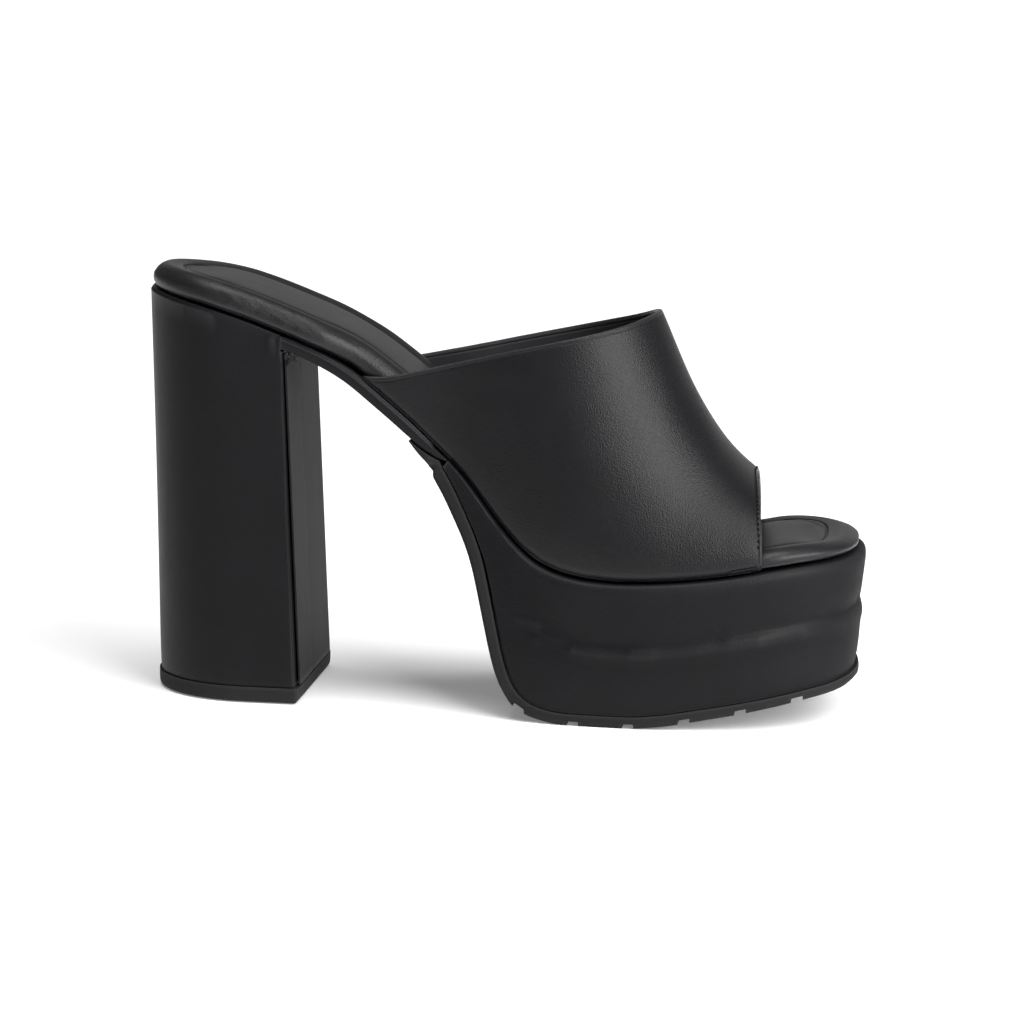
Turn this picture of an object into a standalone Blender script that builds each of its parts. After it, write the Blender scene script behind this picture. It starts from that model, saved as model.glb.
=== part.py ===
"""A platform mule with a block heel and a peep toe, for the right foot.

The script works in millimetres and writes metres. +X runs to the toe, +Z up, and -Y is the outer
(little toe) side. Every piece is laid out from the seat line, which is the curve that the foot
stands on: heel, shank cover and platform end below it, footbed and upper start above it.
"""

from collections import namedtuple
from math import atan, cos, hypot, pi, radians, sin

import bmesh
import bpy
from mathutils import Vector

MM = 0.001

# Overall sizes. x = 0 is the middle of the length.
LENGTH = 225.6
BALL_WIDTH = 90.4
HEEL_HEIGHT = 125.9
PLATFORM_HEIGHT = 44.2
BACK_X = -LENGTH / 2
TOE_X = LENGTH / 2
FIT_GAP = 0.3

# Heel block, its two breast covers and its top lift.
HEEL_TOP_LENGTH = 46.2
HEEL_LOW_LENGTH = 48.1
HEEL_TOP_WIDTH = 59.6
HEEL_LOW_WIDTH = 66.6
HEEL_RAKE = 4.5
HEEL_WAIST = 0.3
HEEL_RIM = 0.8
BREAST_CORNER = 1.6
LIFT_HEIGHT = 5.0
LIFT_PROUD = 0.3
LIFT_LEAD = 0.8
LIFT_EDGE = 1.3
COVER_THICK = 0.8
COVER_MARGIN = 0.7
COVER_SEAM_IN = 23.6

# Shank cover, the leather-covered board between heel and platform.
SHANK_THICK = 4.0
SHANK_LAP = 0.4
SHANK_MARGIN = 0.9
SHANK_RUN_OUT = 14.0
SHANK_TIP_THICK = 0.8
SHANK_EDGE = 1.3

# Platform and outsole.
PLATFORM_LENGTH = 127.4
PLATFORM_BACK_X = TOE_X - PLATFORM_LENGTH
TOE_ROUND_LENGTH = 40.1
TOE_SQUARENESS = 2.5
FOLD_DEPTH = 1.0
WALL_EASE = 0.35
PLATFORM_EDGE = 1.0
RIM_RADIUS = 2.4
SOLE_THICK = 3.5
SOLE_TRIM = 0.3
SOLE_EDGE = 0.9
TAIL_LENGTH = 9.3
TAIL_EDGE_THICK = 0.35
TAIL_STOP = 1.0
FIRST_NOTCH_IN = 24.5
LAST_NOTCH_IN = 18.9
NOTCH_COUNT = 6
NOTCH_LENGTH = 3.5
NOTCH_DEPTH = 1.4

# Footbed.
BED_THICK = 8.5
TOE_MARGIN = 2.2
BED_CLEARANCE = 0.4
BED_TAPER = 14.5
BED_FLARE = 6.5
BED_UNDERCUT = 2.6
ROLL_WIDTH = 6.6
PANEL_INSET = 10.4
GROOVE_HALF = 1.2

# Upper.
WALL = 1.8
UPPER_MARGIN = 1.9
INSTEP_RISE = 78.7
WING_FROM_BACK = 67.5
WING_BLUNT = 2.4
PEAK_FROM_TOE = 65.7
TOE_EDGE_FROM_TOE = 34.5
TOE_EDGE_LEAD = 4.2
FEATHER_TUCK = 1.0
FEATHER_HEIGHT = 5.0
UPPER_ROWS_UP = 15
UPPER_STEPS_ALONG = 28

# The seat line: x as a share of LENGTH from the back, rise as a share of the way from
# PLATFORM_HEIGHT up to HEEL_HEIGHT.
Seat = namedtuple("Seat", "x rise")
SEAT = [
    Seat(0.0, 1.0), Seat(0.038, 0.978), Seat(0.092, 0.946), Seat(0.147, 0.903),
    Seat(0.203, 0.848), Seat(0.258, 0.788), Seat(0.299, 0.728), Seat(0.340, 0.641),
    Seat(0.382, 0.546), Seat(0.423, 0.441), Seat(0.452, 0.365), Seat(0.481, 0.273),
    Seat(0.510, 0.177), Seat(0.539, 0.099), Seat(0.567, 0.048), Seat(0.595, 0.021),
    Seat(0.627, 0.006), Seat(0.672, 0.0), Seat(0.716, 0.005), Seat(0.769, 0.017),
    Seat(0.822, 0.035), Seat(0.867, 0.057), Seat(0.915, 0.077), Seat(0.966, 0.088),
    Seat(1.0, 0.098),
]

# The plan of the whole shoe: x as a share of LENGTH, half width and drift of the middle line
# as shares of BALL_WIDTH.
Plan = namedtuple("Plan", "x half centre")
PLAN = [
    Plan(0.0, 0.343, 0.0), Plan(0.193, 0.343, 0.0), Plan(0.259, 0.346, 0.0),
    Plan(0.304, 0.354, -0.002), Plan(0.370, 0.357, -0.004), Plan(0.435, 0.358, -0.006),
    Plan(0.503, 0.403, -0.009), Plan(0.570, 0.456, -0.014), Plan(0.636, 0.491, -0.019),
    Plan(0.707, 0.500, -0.020), Plan(0.769, 0.493, -0.018), Plan(0.836, 0.473, -0.013),
    Plan(0.902, 0.449, -0.010), Plan(1.0, 0.409, -0.010),
]

# The platform's underside below each place on the seat line: both x as shares of PLATFORM_LENGTH
# from its back, rise as a share of the seat's height over the sole. sole is the rubber's share of
# SOLE_THICK there.
Under = namedtuple("Under", "seat_x low_x rise sole")
UNDERSIDE = [
    Under(0.0, -0.013, 0.973, 1.12), Under(0.030, 0.014, 0.949, 1.12),
    Under(0.061, 0.038, 0.922, 1.1), Under(0.093, 0.065, 0.887, 1.08),
    Under(0.123, 0.090, 0.828, 1.06), Under(0.155, 0.108, 0.729, 1.04),
    Under(0.187, 0.131, 0.531, 1.02), Under(0.219, 0.154, 0.300, 1.0),
    Under(0.253, 0.182, 0.129, 1.0), Under(0.293, 0.230, 0.038, 1.0),
    Under(0.355, 0.308, 0.0, 1.0), Under(0.433, 0.433, 0.0, 1.0), Under(0.529, 0.520, 0.019, 1.0),
    Under(0.623, 0.619, 0.069, 0.97), Under(0.717, 0.713, 0.113, 0.92),
    Under(0.795, 0.791, 0.150, 0.86), Under(0.874, 0.867, 0.187, 0.82),
    Under(0.940, 0.931, 0.212, 0.8), Under(1.0, 0.988, 0.245, 0.78),
]

# The footbed's thickness: x as a share of LENGTH, thick as a share of BED_THICK.
Bed = namedtuple("Bed", "x thick")
BED = [
    Bed(0.0, 0.94), Bed(0.104, 1.01), Bed(0.193, 1.0), Bed(0.259, 0.98), Bed(0.304, 1.0),
    Bed(0.370, 1.06), Bed(0.437, 1.01), Bed(0.503, 0.89), Bed(0.570, 0.78), Bed(0.636, 0.68),
    Bed(0.707, 0.64), Bed(0.849, 0.62), Bed(0.875, 0.65), Bed(0.946, 0.59), Bed(1.0, 0.49),
]

# Sections of the upper: x as a share of LENGTH, height of the ridge over the seat as a share of
# INSTEP_RISE, and how square the shoulder and the crown are. Behind the peak the ridge is only
# a guide for the sides.
Section = namedtuple("Section", "x ridge shoulder crown")
UPPER = [
    Section(0.299, 1.288, 2.3, 1.4), Section(0.437, 1.557, 2.2, 1.4),
    Section(0.503, 1.721, 2.1, 1.4), Section(0.570, 1.729, 2.0, 1.4),
    Section(0.636, 1.45, 1.83, 1.4), Section(0.709, 1.0, 1.72, 1.4),
    Section(0.759, 0.679, 1.82, 1.47), Section(0.807, 0.454, 2.12, 1.66),
    Section(0.867, 0.265, 2.6, 2.0),
]

# The upper's edge from a wing's back end to the peak: x as a share of that length, and the
# height as a share of the way up from the wing's back end, on the outer and the inner side.
Edge = namedtuple("Edge", "x outer inner")
TOPLINE = [
    Edge(0.0, 0.01, 0.01), Edge(0.044, -0.062, -0.056), Edge(0.082, -0.087, -0.082),
    Edge(0.125, -0.062, -0.056), Edge(0.196, 0.021, 0.026), Edge(0.327, 0.169, 0.159),
    Edge(0.502, 0.385, 0.349), Edge(0.687, 0.595, 0.538), Edge(0.807, 0.728, 0.677),
    Edge(0.916, 0.862, 0.826), Edge(1.0, 1.0, 1.0),
]

# One row of a solid: where its top and its underside lie, and how wide each is.
Row = namedtuple("Row", "top_x top_z low_x low_z top_half low_half centre")
# One step of a wall, from the underside (share 0) to the top (share 1), set in from the outline.
Step = namedtuple("Step", "share inset rise")


def along(table, x, column, key="x"):
    """The column's value at x, on a curve through the table's rows that never overshoots them."""
    xs = [getattr(row, key) for row in table]
    ys = [getattr(row, column) for row in table]
    x = min(max(x, xs[0]), xs[-1])
    steps = [(ys[i + 1] - ys[i]) / (xs[i + 1] - xs[i]) for i in range(len(xs) - 1)]

    def slope(i):
        if i == 0 or i == len(xs) - 1:
            return steps[min(i, len(steps) - 1)]
        before, after = steps[i - 1], steps[i]
        return 0.0 if before * after <= 0 else 2 * before * after / (before + after)

    i = max(j for j in range(len(steps)) if xs[j] <= x)
    span = xs[i + 1] - xs[i]
    u = (x - xs[i]) / span
    start = (1 + 2 * u) * (1 - u) ** 2 * ys[i] + u * (1 - u) ** 2 * span * slope(i)
    end = u * u * (3 - 2 * u) * ys[i + 1] + u * u * (u - 1) * span * slope(i + 1)
    return start + end


def mix(a, b, share):
    return a + (b - a) * share


def ramp(x, start, end):
    """0 before start, 1 past end, and an even rise between."""
    return min(max((x - start) / (end - start), 0.0), 1.0)


def share_of(x):
    return (x - BACK_X) / LENGTH


def platform_share(x):
    return (x - PLATFORM_BACK_X) / PLATFORM_LENGTH


def seat(x):
    return mix(PLATFORM_HEIGHT, HEEL_HEIGHT, along(SEAT, share_of(x), "rise"))


def seat_slope(x):
    return seat(x + 0.5) - seat(x - 0.5)


def toe_cap(x, tip):
    """The share of the full width left at x, where the toe closes in a rounded square."""
    reach = ramp(x, TOE_X - TOE_ROUND_LENGTH, tip)
    return max(0.09, (1 - reach**TOE_SQUARENESS) ** (1 / TOE_SQUARENESS))


def heel_cap(x, back, length):
    """The share of the full width left at x, where the back closes in half a circle."""
    reach = 1 - ramp(x, back, back + length)
    return max(0.085, (1 - reach**2) ** 0.5)


def plan_half(x):
    return along(PLAN, share_of(x), "half") * BALL_WIDTH


def plan_centre(x):
    return along(PLAN, share_of(x), "centre") * BALL_WIDTH


def sideways_middle():
    """The middle of the shoe's width, seen from the heel's own centre line."""
    near = min(row.centre - row.half for row in PLAN)
    far = max(row.centre + row.half for row in PLAN)
    return (near + far) / 2 * BALL_WIDTH


def spread(start, end, step):
    """Evenly spaced values from start to end, at about this step."""
    count = max(1, round((end - start) / step))
    return [mix(start, end, i / count) for i in range(count + 1)]


def toe_places(start, tip, count=13):
    """Places from start to the toe's tip, closer together where the outline turns."""
    return [mix(start, tip, sin(pi / 2 * i / count) ** 0.85) for i in range(1, count + 1)]


def back_places(back, length, count=13):
    """Places from the heel's back forward, closer together where the outline turns."""
    return [back + length * (1 - cos(pi / 2 * i / count)) for i in range(count + 1)]


def colour(name, base, roughness):
    material = bpy.data.materials.get(name)
    if material:
        return material
    material = bpy.data.materials.new(name)
    material.use_nodes = True
    shader = material.node_tree.nodes["Principled BSDF"]
    shader.inputs["Base Color"].default_value = (*base, 1.0)
    shader.inputs["Roughness"].default_value = roughness
    shader.inputs["Metallic"].default_value = 0.0
    return material


def leather():
    return colour("black_leather", (0.022, 0.022, 0.024), 0.5)


def padding():
    return colour("black_lining", (0.026, 0.026, 0.029), 0.55)


def rubber():
    return colour("black_rubber", (0.020, 0.020, 0.021), 0.7)


def add_piece(name, mesh_data, material, collection, frame):
    piece = bpy.data.objects.new(name, mesh_data)
    collection.objects.link(piece)
    piece.parent = frame
    piece.data.materials.append(material)
    piece.data.shade_smooth()
    piece.data.set_sharp_from_angle(angle=radians(38))
    return piece


def slope_at(rows, i, face):
    """The rise of the rows' top or low face towards the toe, at row i."""
    before, after = rows[max(i - 1, 0)], rows[min(i + 1, len(rows) - 1)]
    run = getattr(after, face + "_x") - getattr(before, face + "_x")
    return (getattr(after, face + "_z") - getattr(before, face + "_z")) / run


def outline_of(rows):
    """The rows' outline, near side to the toe and far side back, with its outward directions."""
    sides = []
    last = len(rows) - 1
    for sign in (-1, 1):
        tops = [Vector((row.top_x, row.centre + sign * row.top_half)) for row in rows]
        lows = [Vector((row.low_x, row.centre + sign * row.low_half)) for row in rows]
        side = []
        for i, row in enumerate(rows):
            run = tops[min(i + 1, last)] - tops[max(i - 1, 0)]
            outward = Vector((run.y, -run.x)).normalized() * -sign
            slopes = (slope_at(rows, i, "low"), slope_at(rows, i, "top"))
            side.append((row, tops[i], lows[i], outward, slopes))
        sides += side if sign < 0 else side[::-1]
    return sides


def layered_mesh(name, rows, steps_of):
    """A closed solid: the rows' outline, stepped up its wall from underside to top.

    A step that is set in also moves along X, so its height follows the slope of the faces there.
    A step's rise stands square to the top face.
    """
    ring = outline_of(rows)
    count = len(ring)
    mesh = bmesh.new()
    levels = []
    for level in range(len(steps_of(rows[0]))):
        points = []
        for row, top, low, outward, slopes in ring:
            step = steps_of(row)[level]
            moved = outward * step.inset
            place = low.lerp(top, step.share) - moved
            height = mix(row.low_z, row.top_z, step.share)
            height -= moved.x * mix(slopes[0], slopes[1], step.share)
            square = hypot(1, slopes[1])
            x = place.x - step.rise * slopes[1] / square
            height += step.rise / square
            points.append(mesh.verts.new((x * MM, place.y * MM, height * MM)))
        levels.append(points)
    for lower, upper in zip(levels, levels[1:]):
        for k in range(count):
            after = (k + 1) % count
            mesh.faces.new((lower[k], lower[after], upper[after], upper[k]))
    for i in range(len(rows) - 1):
        across = (i, i + 1, count - 2 - i, count - 1 - i)
        mesh.faces.new([levels[-1][k] for k in across])
        mesh.faces.new([levels[0][k] for k in reversed(across)])
    bmesh.ops.recalc_face_normals(mesh, faces=mesh.faces)
    data = bpy.data.meshes.new(name)
    mesh.to_mesh(data)
    mesh.free()
    return data


def cutter(name, length, width, height, place, slope, collection, frame):
    """A box that is taken out of a piece. Its ends are upright, and its floor has this slope."""
    bpy.ops.mesh.primitive_cube_add(size=1)
    box = bpy.context.object
    box.name = name
    box.scale = (length * MM, width * MM, height * MM)
    bpy.ops.object.transform_apply(location=False, rotation=False, scale=True)
    for corner in box.data.vertices:
        corner.co.z += slope * corner.co.x
    for owner in list(box.users_collection):
        owner.objects.unlink(box)
    collection.objects.link(box)
    box.parent = frame
    box.location = [value * MM for value in place]
    box.hide_render = True
    box.display_type = "WIRE"
    return box


def cut(piece, box):
    modifier = piece.modifiers.new(f"cut_{box.name}", "BOOLEAN")
    modifier.operation = "DIFFERENCE"
    modifier.object = box


def heel_rows(low_z, proud, lead):
    """Rows of the heel from its back to its breast, from the seat down to low_z.

    At low_z it stands proud of the block by this much all round, and leads it at the breast.
    """
    low_back = BACK_X + HEEL_RAKE - proud
    low_length = HEEL_LOW_LENGTH + proud + lead
    round_share = HEEL_TOP_WIDTH / 2 / HEEL_TOP_LENGTH
    places = back_places(0.0, round_share)
    places += spread(places[-1], 0.965, 0.07)[1:] + [0.985, 0.996, 1.0]
    corner = {0.985: 0.06, 0.996: 0.38, 1.0: 1.0}
    rows = []
    for share in places:
        top_x = BACK_X + share * HEEL_TOP_LENGTH
        low_x = low_back + share * low_length
        cut_in = corner.get(share, 0.0) * BREAST_CORNER
        top_half = HEEL_TOP_WIDTH / 2 * heel_cap(share, 0.0, round_share) - cut_in
        low_half = (HEEL_LOW_WIDTH / 2 + proud) * heel_cap(share, 0.0, round_share) - cut_in
        rows.append(Row(top_x, seat(top_x), low_x, low_z, top_half, low_half, 0.0))
    return rows


def breast_top_x():
    return BACK_X + HEEL_TOP_LENGTH


def shank_back_x():
    return breast_top_x() - SHANK_LAP


def shank_tip_x():
    return PLATFORM_BACK_X - FIT_GAP


def make_heel(collection, cutters, frame):
    def steps(row):
        return [
            Step(0.0, 0.6 * HEEL_RIM, 0.0), Step(0.006, 0.1 * HEEL_RIM, 0.0),
            Step(0.25, 0.7 * HEEL_WAIST, 0.0), Step(0.55, HEEL_WAIST, 0.0),
            Step(0.8, 0.5 * HEEL_WAIST, 0.0), Step(0.99, 0.0, 0.0), Step(1.0, HEEL_RIM, 0.0),
        ]

    rows = heel_rows(LIFT_HEIGHT + FIT_GAP, 0.0, 0.0)
    heel = add_piece("heel", layered_mesh("heel", rows, steps), leather(), collection, frame)
    back = shank_back_x() - FIT_GAP
    slope = seat_slope(back)
    length, width, height = HEEL_TOP_LENGTH / 3, HEEL_LOW_WIDTH * 1.2, SHANK_THICK * 5
    depth = (SHANK_THICK + FIT_GAP) * hypot(1, slope)
    middle = (back + length / 2, 0, seat(back) + slope * length / 2 - depth + height / 2)
    box = cutter("shank_notch", length, width, height, middle, slope, cutters, frame)
    cut(heel, box)
    return heel


def make_top_lift(collection, frame):
    """The rubber piece that the heel walks on, with its lower edge rounded."""
    rows = []
    for row in heel_rows(0.0, LIFT_PROUD, LIFT_LEAD):
        rows.append(row._replace(top_x=row.low_x, top_z=LIFT_HEIGHT, top_half=row.low_half))

    def steps(row):
        return [
            Step(0.0, LIFT_EDGE, 0.0), Step(0.1, 0.35 * LIFT_EDGE, 0.0), Step(0.26, 0.0, 0.0),
            Step(1.0, 0.0, 0.0),
        ]

    return add_piece("top_lift", layered_mesh("top_lift", rows, steps), rubber(), collection, frame)


def make_breast_cover(name, near_y, far_y, collection, frame):
    """One of the two leather panels of the heel's breast: they meet in an upright seam."""
    low = Vector((BACK_X + HEEL_RAKE + HEEL_LOW_LENGTH, 0, LIFT_HEIGHT + FIT_GAP))
    top = Vector((breast_top_x(), 0, seat(breast_top_x())))
    run = top - low
    up = run.normalized()
    out = Vector((up.z, 0, -up.x))
    height = run.length - SHANK_THICK - 3 * FIT_GAP - 1.0
    middle = low + up * (height / 2 + FIT_GAP) + out * (FIT_GAP + COVER_THICK / 2)
    bpy.ops.mesh.primitive_cube_add(size=1)
    panel = bpy.context.object
    panel.name = name
    panel.scale = (COVER_THICK * MM, (far_y - near_y) * MM, height * MM)
    bpy.ops.object.transform_apply(location=False, rotation=False, scale=True)
    for owner in list(panel.users_collection):
        owner.objects.unlink(panel)
    collection.objects.link(panel)
    panel.parent = frame
    panel.location = (middle.x * MM, (near_y + far_y) / 2 * MM, middle.z * MM)
    panel.rotation_euler = (0, atan(up.x / up.z), 0)
    edge = panel.modifiers.new("soft_edges", "BEVEL")
    edge.width = 0.3 * COVER_THICK * MM
    edge.segments = 2
    panel.data.materials.append(leather())
    return panel


def shank_thickness(x):
    """The board's thickness square to the seat, running out in a tongue at its front."""
    run_out = ramp(x, shank_tip_x() - SHANK_RUN_OUT, shank_tip_x())
    return mix(SHANK_TIP_THICK, SHANK_THICK, (1 - run_out**2.6) ** 0.7)


def shank_under(x, depth):
    """The point this far below the seat, square to it."""
    slope = seat_slope(x)
    square = hypot(1, slope)
    return x + depth * slope / square, seat(x) - depth / square


def make_shank_cover(collection, frame):
    back, tip = shank_back_x(), shank_tip_x()
    rows = []
    for x in spread(back, tip - SHANK_RUN_OUT, 3.4) + spread(tip - SHANK_RUN_OUT, tip, 1.75)[1:]:
        square_x, square_z = shank_under(x, shank_thickness(x))
        # The back end is upright, and the rows lean over to square a little further on.
        low_x = mix(x, square_x, ramp(x, back, back + 2 * SHANK_THICK))
        low_z = square_z + seat_slope(x) * (low_x - square_x)
        half = plan_half(x) - SHANK_MARGIN
        rows.append(Row(x, seat(x), low_x, low_z, half, half, plan_centre(x)))

    def steps(row):
        return [
            Step(0.0, SHANK_EDGE, 0.0), Step(0.12, 0.3 * SHANK_EDGE, 0.0), Step(0.35, 0.0, 0.0),
            Step(0.8, 0.0, 0.0), Step(1.0, 0.55 * SHANK_EDGE, 0.0),
        ]

    mesh = layered_mesh("shank_cover", rows, steps)
    return add_piece("shank_cover", mesh, leather(), collection, frame)


def toe_turn_x():
    """Where the toe's outline begins to turn inward."""
    return TOE_X - 0.85 * TOE_ROUND_LENGTH


def forefoot_places():
    """Places on the seat line that platform and outsole share."""
    turn = toe_turn_x()
    return spread(PLATFORM_BACK_X, turn, 3.3) + toe_places(turn, TOE_X)


def underside(seat_x):
    """The platform's underside below this place on the seat line."""
    share = platform_share(seat_x)
    base = SOLE_THICK + FIT_GAP
    rise = along(UNDERSIDE, share, "rise", "seat_x")
    x = PLATFORM_BACK_X + along(UNDERSIDE, share, "low_x", "seat_x") * PLATFORM_LENGTH
    return Vector((x, base + rise * (seat(seat_x) - base)))


def underside_out(seat_x):
    """The direction square out of the underside there."""
    reach = 0.2
    before = underside(max(seat_x - reach, PLATFORM_BACK_X))
    after = underside(min(seat_x + reach, TOE_X))
    run = (after - before).normalized()
    return Vector((run.y, -run.x))


def make_platform(collection, frame):
    """The wrapped midsole. A fold runs round its wall at half height and fades out at the back."""
    rows = []
    for x in forefoot_places():
        half = plan_half(x) * toe_cap(x, TOE_X)
        low = underside(x)
        rows.append(Row(x, seat(x), low.x, low.y, half, half, plan_centre(x)))

    def steps(row):
        share = platform_share(row.top_x)
        fold = ramp(share, 0.21, 0.345)
        high = mix(0.50, 0.56, ramp(share, 0.59, 0.98))
        rim = ramp(share, -0.03, 0.10) * RIM_RADIUS

        def wall(plain, folded):
            return mix(plain * WALL_EASE, folded * FOLD_DEPTH, fold)

        return [
            Step(0.0, PLATFORM_EDGE, 0.0), Step(0.05, 0.6 * PLATFORM_EDGE, 0.0),
            Step(0.2, wall(1.4, 0.08), 0.0), Step(high - 0.12, wall(1.1, -0.08), 0.0),
            Step(high - 0.045, wall(1.0, 0.2), 0.0), Step(high - 0.012, wall(1.0, 1.0), 0.0),
            Step(high + 0.012, wall(1.0, 1.0), 0.0), Step(high + 0.07, wall(1.0, 0.46), 0.0),
            Step(0.8, 0.7 * WALL_EASE, 0.0), Step(0.9, 0.0, 0.0), Step(0.945, 0.08 * rim, 0.0),
            Step(0.978, 0.38 * rim, 0.0), Step(1.0, rim, 0.0),
        ]

    mesh = layered_mesh("platform", rows, steps)
    return add_piece("platform", mesh, leather(), collection, frame)


def make_outsole(collection, cutters, frame):
    """The rubber sole: lugs under the forefoot, and a tail that climbs the platform's back."""
    rows = []
    tail_start = PLATFORM_BACK_X - TAIL_LENGTH
    tail_end = shank_tip_x() - TAIL_STOP
    full = UNDERSIDE[0].sole * SOLE_THICK
    for x in spread(tail_start, tail_end, 2.0):
        start = shank_thickness(x) + FIT_GAP
        thick = mix(TAIL_EDGE_THICK, full, ramp(x, tail_start, shank_tip_x()))
        top_x, top_z = shank_under(x, start)
        low_x, low_z = shank_under(x, start + thick)
        half = plan_half(x) - SHANK_MARGIN - SOLE_TRIM
        rows.append(Row(top_x, top_z, low_x, low_z, half, half, plan_centre(x)))
    for x in forefoot_places():
        out = underside_out(x)
        top = underside(x) + out * FIT_GAP
        low = top + out * along(UNDERSIDE, platform_share(x), "sole", "seat_x") * SOLE_THICK
        half = plan_half(x) * toe_cap(x, TOE_X) - SOLE_TRIM
        rows.append(Row(top.x, top.y, low.x, low.y, half, half, plan_centre(x)))

    def steps(row):
        return [
            Step(0.0, SOLE_EDGE, 0.0), Step(0.22, 0.17 * SOLE_EDGE, 0.0), Step(0.45, 0.0, 0.0),
            Step(1.0, 0.0, 0.0),
        ]

    mesh = layered_mesh("outsole", rows, steps)
    sole = add_piece("outsole", mesh, rubber(), collection, frame)
    first, last = PLATFORM_BACK_X + FIRST_NOTCH_IN, TOE_X - LAST_NOTCH_IN
    for number in range(NOTCH_COUNT):
        x = mix(first, last, number / (NOTCH_COUNT - 1))
        row, after = next((a, b) for a, b in zip(rows, rows[1:]) if b.low_x > x)
        slope = (after.low_z - row.low_z) / (after.low_x - row.low_x)
        place = (x, 0, row.low_z + slope * (x - row.low_x))
        name = f"lug_notch_{number + 1}"
        size = (NOTCH_LENGTH, BALL_WIDTH * 1.3, 2 * NOTCH_DEPTH)
        cut(sole, cutter(name, *size, place, slope, cutters, frame))
    return sole


def bed_margin(x):
    """How far the footbed's edge lies inside the plan: most of all where it runs in the upper."""
    inside = UPPER_MARGIN + WALL + BED_CLEARANCE
    wing = BACK_X + WING_FROM_BACK
    edge = TOE_X - TOE_EDGE_FROM_TOE
    entered = ramp(x, wing + WALL - BED_TAPER, wing + WALL)
    entered *= entered * (3 - 2 * entered)
    left = ramp(x, edge + WALL, edge + WALL + BED_FLARE)
    return mix(0.0, mix(inside, TOE_MARGIN, left), entered)


def make_footbed(collection, frame):
    """The padded insole: a rolled edge, and a stitched-in panel set in from it."""
    tip = TOE_X - TOE_MARGIN
    roundness = plan_half(BACK_X)
    places = back_places(BACK_X, roundness) + spread(BACK_X + roundness, toe_turn_x(), 3.6)[1:]
    places += toe_places(toe_turn_x(), tip)
    rows = []
    for x in places:
        half = (plan_half(x) - bed_margin(x)) * toe_cap(x, tip) * heel_cap(x, BACK_X, roundness)
        low = seat(x) + FIT_GAP
        rows.append(Row(x, low, x, low, half, half, plan_centre(x)))

    def steps(row):
        thick = along(BED, share_of(row.top_x), "thick") * BED_THICK
        return [
            Step(0.0, BED_UNDERCUT, 0.0), Step(0.5, 0.35 * BED_UNDERCUT, 0.10 * thick),
            Step(0.5, 0.015 * ROLL_WIDTH, 0.30 * thick), Step(0.5, 0.03 * ROLL_WIDTH, 0.56 * thick),
            Step(0.5, 0.21 * ROLL_WIDTH, 0.83 * thick), Step(0.5, 0.55 * ROLL_WIDTH, 0.98 * thick),
            Step(0.5, ROLL_WIDTH, thick), Step(0.5, PANEL_INSET - GROOVE_HALF, 0.93 * thick),
            Step(0.5, PANEL_INSET, 0.82 * thick), Step(0.5, PANEL_INSET + GROOVE_HALF, 0.9 * thick),
            Step(1.0, PANEL_INSET + 4 * GROOVE_HALF, 0.93 * thick),
        ]

    mesh = layered_mesh("footbed", rows, steps)
    return add_piece("footbed", mesh, padding(), collection, frame)


def ridge(x):
    return seat(x) + along(UPPER, share_of(x), "ridge") * INSTEP_RISE


def upper_point(x, turn):
    """A point of the upper's outer face. turn is 0 at the outer side's seat and pi at the inner's."""
    half = plan_half(x) * toe_cap(x, TOE_X) - UPPER_MARGIN
    shoulder = along(UPPER, share_of(x), "shoulder")
    crown = along(UPPER, share_of(x), "crown")
    height = (ridge(x) - seat(x) - FIT_GAP) * max(sin(turn), 0.0) ** (2 / crown)
    side = abs(cos(turn))
    swell = FEATHER_TUCK * ramp(height, 0.0, FEATHER_HEIGHT) ** 0.6 * side**0.5
    reach = half * side ** (2 / shoulder) + swell
    sign = -1 if turn < pi / 2 else 1
    return Vector((x, plan_centre(x) + sign * reach, seat(x) + FIT_GAP + height))


def topline_x(turn):
    """Where the upper's edge crosses this line round the foot."""
    side = "outer" if turn < pi / 2 else "inner"
    wing, peak = BACK_X + WING_FROM_BACK, TOE_X - PEAK_FROM_TOE
    low, high = wing + WING_BLUNT, peak
    for _ in range(30):
        middle = (low + high) / 2
        share = along(TOPLINE, (middle - wing) / (peak - wing), side)
        if upper_point(middle, turn).z > mix(seat(wing), ridge(peak), share):
            low = middle
        else:
            high = middle
    return (low + high) / 2


def toe_edge_x(turn):
    """The toe opening's edge: it leads at the outer side, and stands upright from the ridge inward."""
    lead = TOE_EDGE_LEAD * cos(turn) if turn < pi / 2 else 0.0
    return TOE_X - TOE_EDGE_FROM_TOE + lead


def make_upper(collection, frame):
    """The vamp with its two wings: one wall, open at the toe, at the heel and over the footbed."""
    turns = [pi / 2 * (i / UPPER_ROWS_UP) ** 1.15 for i in range(UPPER_ROWS_UP + 1)]
    turns += [pi - turn for turn in turns[-2::-1]]
    mesh = bmesh.new()
    grid = []
    for turn in turns:
        start, end = topline_x(turn), toe_edge_x(turn)
        line = []
        for i in range(UPPER_STEPS_ALONG + 1):
            point = upper_point(mix(start, end, i / UPPER_STEPS_ALONG), turn)
            line.append(mesh.verts.new(point * MM))
        grid.append(line)
    for here, there in zip(grid, grid[1:]):
        for i in range(UPPER_STEPS_ALONG):
            mesh.faces.new((here[i], here[i + 1], there[i + 1], there[i]))
    data = bpy.data.meshes.new("upper")
    mesh.to_mesh(data)
    mesh.free()
    upper = add_piece("upper", data, leather(), collection, frame)
    wall = upper.modifiers.new("wall", "SOLIDIFY")
    wall.thickness = WALL * MM
    wall.offset = -1
    return upper


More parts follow.
